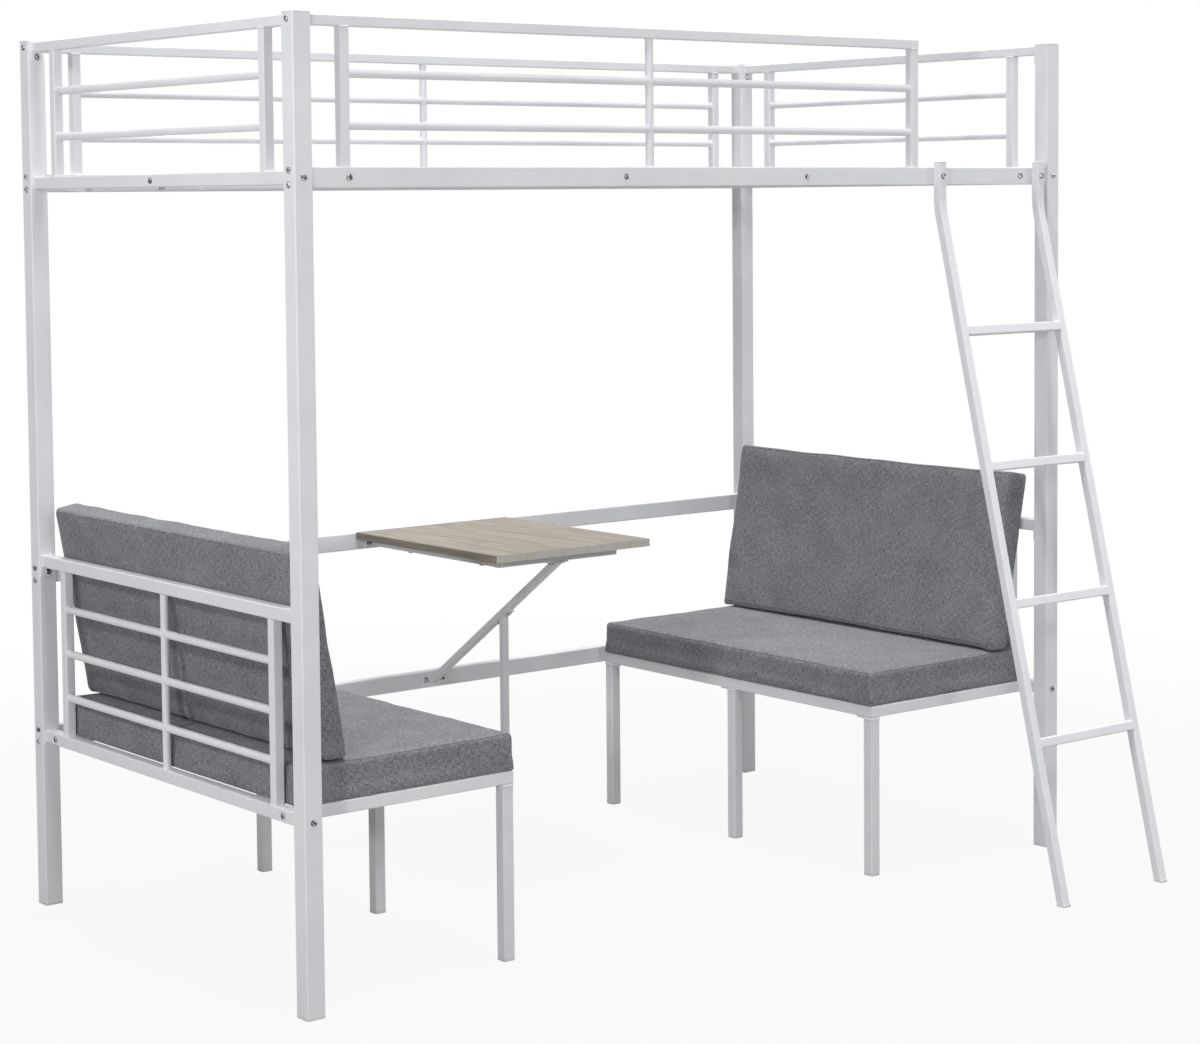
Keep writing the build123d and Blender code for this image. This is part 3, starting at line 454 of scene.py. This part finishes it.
def swell(pads, c):
    for pad in pads:
        cloth = pad.modifiers.new("cover", "CLOTH")
        s = cloth.settings
        s.quality = c["quality"]
        s.mass = c["mass"]
        s.use_pressure = True
        s.uniform_pressure_force = c["pressure"]
        s.tension_stiffness = s.compression_stiffness = c["stretch"]
        s.shear_stiffness = c["shear"]
        s.bending_stiffness = c["bend"]
        s.effector_weights.gravity = 0
        cloth.collision_settings.use_collision = False
        cloth.point_cache.frame_start = 1
        cloth.point_cache.frame_end = c["frames"]
    for step in range(1, c["frames"] + 1):
        scene.frame_set(step)
    deps = bpy.context.evaluated_depsgraph_get()
    for pad in pads:
        start = meshPoints(pad.data)
        move = meshPoints(pad.evaluated_get(deps).data) - start
        far = np.linalg.norm(move, axis=1, keepdims=True) + 1e-9
        move *= c["swellCap"] * (1 - np.exp(-far / c["swellCap"])) / far
        if "seat" in pad.name:
            move[:, 2] = np.maximum(move[:, 2], 0)
        pad.modifiers.clear()
        pad.data.vertices.foreach_set("co", (start + move).ravel())
    scene.frame_set(1)


def ripple(points, seed, c, low, high):
    # shallow puckers of the cover, strongest near the sewn edges
    chance = np.random.default_rng(seed)
    offset = np.zeros(len(points))
    for wave in range(c["waves"]):
        way = chance.normal(size=3)
        way *= 2 * pi / (c["rippleLong"] * chance.uniform(0.6, 1.8)) / np.linalg.norm(way)
        offset += np.sin(points @ way + chance.uniform(0, 2 * pi)) / c["waves"] ** 0.5
    depth = np.minimum(points - low, high - points)
    nearest = np.sort(depth, axis=1)[:, 1]
    edgeShare = 1 - c["flatShare"]
    return offset * c["rippleHigh"] * (c["flatShare"] + edgeShare * np.exp(-nearest / c["edgeReach"]))


def shapeCover(points, low, high, thin, c):
    # the sides pull in between the corners and the large faces rise to a low crown
    middle, half = (low + high) / 2, (high - low) / 2
    share = np.clip((points - middle) / half, -1, 1)
    wide = [axis for axis in range(3) if axis != thin]
    drawIn = c["drawIn"] * ((1 + share[:, 2]) / 2 if thin == 2 else 1)
    for axis, other in (wide, wide[::-1]):
        edge = share[:, axis]
        points[:, axis] -= np.sign(edge) * np.abs(edge) ** 5 * drawIn * (1 - share[:, other] ** 2)
    dome = c["dome"] * (1 - share[:, wide[0]] ** 4) * (1 - share[:, wide[1]] ** 4)
    upward = np.clip(share[:, thin], 0, 1) if thin == 2 else share[:, thin]
    points[:, thin] += dome * upward
    return points


def settle(points, low, high, c):
    # foam that bears on the frame: towards its lower rim it spreads to the full outline and folds square, so
    # that little light shows between it and the rails
    r = c["rim"]
    for axis in (0, 1):
        middle, half = (low[axis] + high[axis]) / 2, (high[axis] - low[axis]) / 2
        side = points[:, axis] - middle
        foot = np.clip(1 - (points[:, 2] - low[2]) / c["footHigh"], 0, 1)
        rising = np.clip(1 - (half - np.abs(side)) / c["footWide"], 0, 1)
        far = np.minimum(np.abs(side) + c["spread"] * rising * foot, half)
        down = np.clip((low[2] + r - points[:, 2]) / r, 0, 1)
        out = np.clip((far - (half - r)) / r, 0, 1)
        folds = (down > 0) & (out > 0)
        grow = np.hypot(down, out)[folds] / np.maximum(down, out)[folds]
        far[folds] = half - r + r * np.minimum(out[folds] * grow, 1)
        points[folds, 2] = low[2] + r - r * np.minimum(down[folds] * grow, 1)
        points[:, axis] = middle + np.sign(side) * far
    return points


def flatMap(mesh, place, thin, c):
    # UV in metres of cloth, laid on each side of the block from its own frame
    back = np.array(place.inverted())
    points = meshPoints(mesh) @ back[:3, :3].T + back[:3, 3]
    normals = np.zeros(len(mesh.polygons) * 3)
    mesh.polygons.foreach_get("normal", normals)
    normals = normals.reshape(-1, 3) @ back[:3, :3].T
    loops = np.zeros(len(mesh.loops), int)
    mesh.loops.foreach_get("vertex_index", loops)
    sides = np.zeros(len(mesh.polygons), int)
    mesh.polygons.foreach_get("loop_total", sides)
    main = np.repeat(np.abs(normals).argmax(1), sides)
    up = 2 - thin                     # the way the warp runs on the large faces
    first = np.where(main == 1, up, 1)
    second = np.where(main == thin, up, thin)
    at = points[loops]
    row = np.arange(len(loops))
    shiftX, shiftY = c["sideShift"]
    flat = np.stack([at[row, first] + main * shiftX, at[row, second] + main * shiftY], 1)
    layer = mesh.uv_layers.new(name="cloth")
    layer.data.foreach_set("uv", flat.ravel())


def standOn(points, place, low, seatTree, seatSpace, c):
    # the lower end settles on the seat below it
    turn = np.array(place)
    world = points @ turn[:3, :3].T + turn[:3, 3]
    above = np.clip((points[:, 2] - low[2]) / c["standReach"], 0, 1)
    weight = (1 - above) ** 2 * (1 + 2 * above)
    foot = points.copy()
    foot[:, 2] = low[2]
    foot = foot @ turn[:3, :3].T + turn[:3, 3]
    seatLow, seatHigh = seatSpace
    margin = c["seatMargin"]
    x = np.clip(foot[:, 0], seatLow.x + margin, seatHigh.x - margin)
    y = np.clip(foot[:, 1], seatLow.y + margin, seatHigh.y - margin)
    for i in np.nonzero(weight > 0)[0]:
        hit = seatTree.ray_cast(Vector((x[i], y[i], foot[i, 2] + c["dropFrom"])), Vector((0, 0, -1)))
        world[i, 2] += weight[i] * (hit[0].z + c["standClear"] - foot[i, 2])
    return world


def finishCushion(cushion, pad, place, low, high, seatTree, c):
    settings = cushions[cushion]
    thin = settings["thin"]
    points = meshPoints(pad.data)
    normals = np.array([v.normal for v in pad.data.vertices])
    floor = points[:, 2].min() + c["bottomBand"]
    offset = ripple(points, settings["seed"], c, low, high)
    if thin == 2:
        offset[points[:, 2] < floor] = 0
    points = shapeCover(points + normals * offset[:, None], low, high, thin, c)
    gap = c["clear"]
    least, most = points.min(0), points.max(0)
    points = low + gap + (points - least) * (high - low - 2 * gap) / (most - least)
    if thin == 2:
        points = settle(points, low + gap, high - gap, c)
    if seatTree:
        points = standOn(points, place, low, seatTree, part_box(cushion.replace("back", "seat")), c)
    else:
        turn = np.array(place)
        points = points @ turn[:3, :3].T + turn[:3, 3]
    pad.data.vertices.foreach_set("co", points.ravel())
    smooth = pad.modifiers.new("smooth", "SUBSURF")
    smooth.levels = smooth.render_levels = 1
    mesh = bpy.data.meshes.new_from_object(pad.evaluated_get(bpy.context.evaluated_depsgraph_get()))
    bpy.data.objects.remove(pad)
    words = cushion.split("_")
    mesh.name = words[0] + "".join(word.capitalize() for word in words[1:])
    flatMap(mesh, place, thin, c)
    mesh.polygons.foreach_set("use_smooth", np.ones(len(mesh.polygons), bool))
    mesh.materials.clear()
    mesh.materials.append(finishes["grey_fabric"])
    made = linkObject(mesh.name, mesh)
    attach(made, settings["body"])
    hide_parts(cushion)
    return made


def treeOf(mesh):
    return BVHTree.FromPolygons([v.co for v in mesh.vertices], [p.vertices for p in mesh.polygons])


def makeCushions(c):
    work = []
    for cushion in cushions:
        place = ownFrame(cushion)
        low, high = solidSpace(cushion, place)
        work.append((cushion, startBlock(cushion, low, high, c), place, low, high))
    swell([item[1] for item in work], c)
    made = {}
    trees = {}
    for cushion, pad, place, low, high in work:
        seatTree = trees.get(cushion.replace("back", "seat"))
        made[cushion] = finishCushion(cushion, pad, place, low, high, seatTree, c)
        trees[cushion] = treeOf(made[cushion].data)
    return made, trees, {item[0]: item[2:] for item in work}


padObjects, padTrees, padSpaces = makeCushions(cushionMaking)
print("cushions made:", [len(pad.data.polygons) for pad in padObjects.values()])


# a bead or welt that is swept along closed lines; its thickness wanders a little along the way
def sweptLineTree():
    tree = bpy.data.node_groups.new("sweptLine", "GeometryNodeTree")
    tree.interface.new_socket(name="Lines", in_out="INPUT", socket_type="NodeSocketGeometry")
    kinds = {"Radius": "NodeSocketFloat", "Unevenness": "NodeSocketFloat",
             "Unevenness Length": "NodeSocketFloat", "Step Length": "NodeSocketFloat",
             "Steps Around": "NodeSocketInt", "Seed": "NodeSocketFloat", "Finish": "NodeSocketMaterial"}
    names = {name: tree.interface.new_socket(name=name, in_out="INPUT", socket_type=kind).identifier
             for name, kind in kinds.items()}
    tree.interface.new_socket(name="Swept", in_out="OUTPUT", socket_type="NodeSocketGeometry")
    given = addNode(tree, "NodeGroupInput").outputs
    curve = addNode(tree, "GeometryNodeMeshToCurve", inputs={"Mesh": given["Lines"]})
    even = addNode(tree, "GeometryNodeResampleCurve", {"mode": "LENGTH"}, {
        "Curve": curve.outputs[0], "Length": given["Step Length"]})
    fine = addNode(tree, "ShaderNodeMath", {"operation": "DIVIDE"}, {0: 1.0, 1: given["Unevenness Length"]})
    noise = addNode(tree, "ShaderNodeTexNoise", {"noise_dimensions": "4D"}, {
        "Vector": addNode(tree, "GeometryNodeInputPosition").outputs[0], "W": given["Seed"],
        "Scale": fine.outputs[0], "Detail": 1.0})
    centred = addNode(tree, "ShaderNodeMath", {"operation": "SUBTRACT"}, {0: noise.outputs["Fac"], 1: 0.5})
    swing = addNode(tree, "ShaderNodeMath", {"operation": "MULTIPLY_ADD"}, {
        0: centred.outputs[0], 1: given["Unevenness"], 2: given["Radius"]})
    circle = addNode(tree, "GeometryNodeCurvePrimitiveCircle", inputs={
        "Resolution": given["Steps Around"], "Radius": 1.0})
    solid = addNode(tree, "GeometryNodeCurveToMesh", inputs={
        "Curve": even.outputs[0], "Profile Curve": circle.outputs[0], "Scale": swing.outputs[0]})
    soft = addNode(tree, "GeometryNodeSetShadeSmooth", inputs={"Geometry": solid.outputs[0]})
    real = addNode(tree, "GeometryNodeRealizeInstances", inputs={"Geometry": soft.outputs[0]})
    painted = addNode(tree, "GeometryNodeSetMaterial", inputs={
        "Geometry": real.outputs[0], "Material": given["Finish"]})
    addNode(tree, "NodeGroupOutput", inputs={"Swept": painted.outputs[0]})
    return tree, names


sweptLine, sweptInputs = sweptLineTree()


def sweep(name, loops, values):
    points, edges = [], []
    for loop in loops:
        first = len(points)
        points += [tuple(p) for p in loop]
        edges += [(first + i, first + (i + 1) % len(loop)) for i in range(len(loop))]
    lines = bpy.data.meshes.new(name + "Lines")
    lines.from_pydata(points, edges, [])
    source = linkObject(name + "Lines", lines)
    modifier = source.modifiers.new("sweptLine", "NODES")
    modifier.node_group = sweptLine
    for socket, value in values.items():
        modifier[sweptInputs[socket]] = value
    mesh = bpy.data.meshes.new_from_object(source.evaluated_get(bpy.context.evaluated_depsgraph_get()))
    bpy.data.objects.remove(source)
    mesh.name = name
    return linkObject(name, mesh)


# seams: each cover is sewn from two large panels and a band, with the seam as a narrow ridge on the edge
seams = {
    "inset": 0.004, "cornerRound": 0.012, "cornerSteps": 6, "spacing": 0.008, "rayFrom": 0.03,
    "seamRadius": 0.0012, "uneven": 0.0006, "unevenLong": 0.02, "stepLong": 0.006, "stepsAround": 6,
}


def seamLoop(cushion, face, s):
    place, low, high = padSpaces[cushion]
    thin = cushions[cushion]["thin"]
    wide = [axis for axis in range(3) if axis != thin]
    half = (high - low) / 2
    middle = (low + high) / 2
    a, b = half[wide[0]], half[wide[1]]
    r = s["cornerRound"]
    line = []
    corners = ((a - r, b - r, 0), (r - a, b - r, 90), (r - a, r - b, 180), (a - r, r - b, 270))
    for i, (x, y, turn) in enumerate(corners):
        for step in range(s["cornerSteps"]):
            angle = radians(turn + step * 90 / (s["cornerSteps"] - 1))
            line.append((x + r * cos(angle), y + r * sin(angle), cos(angle), sin(angle)))
        nx, ny, nextTurn = corners[(i + 1) % 4]
        angle = radians(turn + 90)
        x0, y0 = x + r * cos(angle), y + r * sin(angle)
        x1, y1 = nx + r * cos(angle), ny + r * sin(angle)
        count = int(((x1 - x0) ** 2 + (y1 - y0) ** 2) ** 0.5 / s["spacing"])
        line += [(x0 + (x1 - x0) * k / count, y0 + (y1 - y0) * k / count, cos(angle), sin(angle))
                 for k in range(1, count)]
    found = []
    for x, y, nx, ny in line:
        point, way = middle.copy(), np.zeros(3)
        point[wide[0]] += x - nx * s["inset"]
        point[wide[1]] += y - ny * s["inset"]
        point[thin] += face * (half[thin] - s["inset"])
        way[wide[0]], way[wide[1]], way[thin] = nx, ny, face
        way = Vector(way / 2 ** 0.5)
        start = place @ (Vector(point) + way * s["rayFrom"])
        hit = padTrees[cushion].ray_cast(start, place.to_3x3() @ -way)
        if hit[0]:
            found.append(hit[0])
    return found


def makeSeams(s):
    for cushion, settings in cushions.items():
        loops = [seamLoop(cushion, face, s) for face in (1, -1)]
        name = padObjects[cushion].name + "Seams"
        piece = sweep(name, loops, {
            "Radius": s["seamRadius"], "Unevenness": s["uneven"], "Unevenness Length": s["unevenLong"],
            "Step Length": s["stepLong"], "Steps Around": s["stepsAround"], "Seed": float(settings["seed"]),
            "Finish": finishes["grey_fabric"]})
        place = padSpaces[cushion][0]
        layer = piece.data.uv_layers.new(name="cloth")
        for loop in piece.data.loops:
            at = place.inverted() @ piece.data.vertices[loop.vertex_index].co
            layer.data[loop.index].uv = (at.y + at.x, at.z + at.x)
        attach(piece, settings["body"])


makeSeams(seams)
print("seams sewn")


# welds: thin beads where the tubes of the guards, end panels, ladder and legs meet; the sizes
# repeat part.py's, in metres
welds = {
    "bead": 0.0016, "uneven": 0.0010, "ripple": 0.004, "stepLong": 0.002, "stepsAround": 6, "seed": 5.0,
    "post": 0.038, "guardTube": 0.020, "frameTube": 0.025, "bar": 0.016, "plate": 0.003,
    "deckLevel": 1.508, "guardLevel": 1.786, "seatLevel": 0.358, "backrestLevel": 0.725, "railHigh": 0.038,
    "panelGap": 0.074, "guardGap": 0.066, "climbIn": 0.394, "middleShare": 0.4958,
    "ladderLean": 13.7, "rungs": 4,
}


def ring(centre, axis, radius, count=16):
    a, b = [Vector(v) for v in {"x": ((0, 1, 0), (0, 0, 1)), "y": ((1, 0, 0), (0, 0, 1)),
                                "z": ((1, 0, 0), (0, 1, 0))}[axis]]
    return [Vector(centre) + (a * cos(t) + b * sin(t)) * radius
            for t in (2 * pi * i / count for i in range(count))]


def squareRing(centre, a, b, corner=0.0026):
    # a and b are the half sides, as vectors
    centre, a, b = Vector(centre), Vector(a), Vector(b)
    inner = 1 - corner / a.length, 1 - corner / b.length
    points = []
    for i in range(4):
        sx, sy = ((1, 1), (-1, 1), (-1, -1), (1, -1))[i]
        for step in range(4):
            t = radians(90 * i + step * 30)
            points.append(centre + a * (sx * inner[0]) + b * (sy * inner[1])
                          + a.normalized() * (cos(t) * corner) + b.normalized() * (sin(t) * corner))
    return points


def saddle(centre, along, across, sign, radius, count=20, least=0.0012):
    # a bar that meets a round upright of the same diameter
    centre, along, across = Vector(centre), Vector(along), Vector(across)
    points = []
    for t in (2 * pi * i / count for i in range(count)):
        out = max(abs(sin(t)) * radius, least)
        points.append(centre + along * (sign * out) + across * (cos(t) * radius)
                      + Vector((0, 0, sin(t) * radius)))
    return points


def barLevels(low, high, count):
    return [low + (high - low) * (i + 1) / (count + 1) for i in range(count)]


def guardWelds(y, uprights, middle, w):
    low, high = w["deckLevel"] + w["railHigh"] / 2, w["guardLevel"] - w["guardTube"] / 2
    half, barHalf = w["guardTube"] / 2, w["bar"] / 2
    loops = [squareRing((x, y, z), (half, 0, 0), (0, half, 0)) for x in uprights for z in (low, high)]
    loops += [ring((middle, y, z), "z", barHalf) for z in (low, high)]
    for z in barLevels(w["deckLevel"], w["guardLevel"], 2):
        loops += [ring((x, y, z), "x", barHalf) for x in (uprights[0] + half, uprights[1] - half)]
        loops += [saddle((middle, y, z), (1, 0, 0), (0, 1, 0), sign, barHalf) for sign in (-1, 1)]
    return loops


def panelWelds(x, first, last, low, high, lowHalf, highHalf, count, hasMiddle, w):
    half, barHalf, middle = w["guardTube"] / 2, w["bar"] / 2, (first + last) / 2
    ends = (low + lowHalf, high - highHalf)
    loops = [squareRing((x, y, z), (half, 0, 0), (0, half, 0)) for y in (first, last) for z in ends]
    if hasMiddle:
        loops += [ring((x, middle, z), "z", barHalf) for z in ends]
    for z in barLevels(low, high, count):
        loops += [ring((x, y, z), "y", barHalf) for y in (first + half, last - half)]
        if hasMiddle:
            loops += [saddle((x, middle, z), (0, 1, 0), (1, 0, 0), sign, barHalf) for sign in (-1, 1)]
    return loops


def makeWelds(w):
    low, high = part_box("front_left_post")
    left, front = low.x, low.y
    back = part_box("rear_left_post")[1].y
    post, half = w["post"], w["guardTube"] / 2
    firstX = left + post + w["guardGap"] + half
    lastX = -left - post - w["climbIn"] - half
    loops = guardWelds(front + post / 2, (firstX, lastX), firstX + (lastX - firstX) * w["middleShare"], w)
    loops += guardWelds(back - post / 2, (firstX, -firstX), 0, w)
    firstY, lastY = front + post + w["panelGap"] + half, back - post - w["panelGap"] - half
    frameHalf = w["frameTube"] / 2
    for x in (left + post / 2, -left - post / 2):
        loops += panelWelds(x, firstY, lastY, w["deckLevel"], w["guardLevel"], frameHalf, half, 2, False, w)
        loops += panelWelds(x, firstY, lastY, w["seatLevel"], w["backrestLevel"], frameHalf, frameHalf, 3,
                            True, w)
    # ladder rungs, square tubes turned with the stiles
    lean = radians(w["ladderLean"])
    a, b = Vector((0, cos(lean), -sin(lean))) * half, Vector((0, sin(lean), cos(lean))) * half
    for number in range(w["rungs"]):
        rungLow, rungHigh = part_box(f"ladder_rung_{number + 1}")
        middle = (rungLow + rungHigh) / 2
        loops += [squareRing((x, middle.y, middle.z), a, b) for x in (rungLow.x, rungHigh.x)]
    # seat legs on their flange plates
    for side in ("left", "right"):
        for place in ("front", "middle", "rear"):
            foot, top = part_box(f"{side}_seat_{place}_leg")
            middleX = (foot.x + top.x) / 2
            near = foot.y + frameHalf if place != "rear" else top.y - frameHalf
            centre = (middleX, near, top.z - w["plate"])
            loops.append(squareRing(centre, (frameHalf, 0, 0), (0, frameHalf, 0)))
    piece = sweep("weldBeads", loops, {
        "Radius": w["bead"], "Unevenness": w["uneven"], "Unevenness Length": w["ripple"],
        "Step Length": w["stepLong"], "Steps Around": w["stepsAround"], "Seed": w["seed"],
        "Finish": finishes["white_steel"]})
    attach(piece, "bed")
    return len(loops), len(piece.data.polygons)


print("welds and faces:", makeWelds(welds))
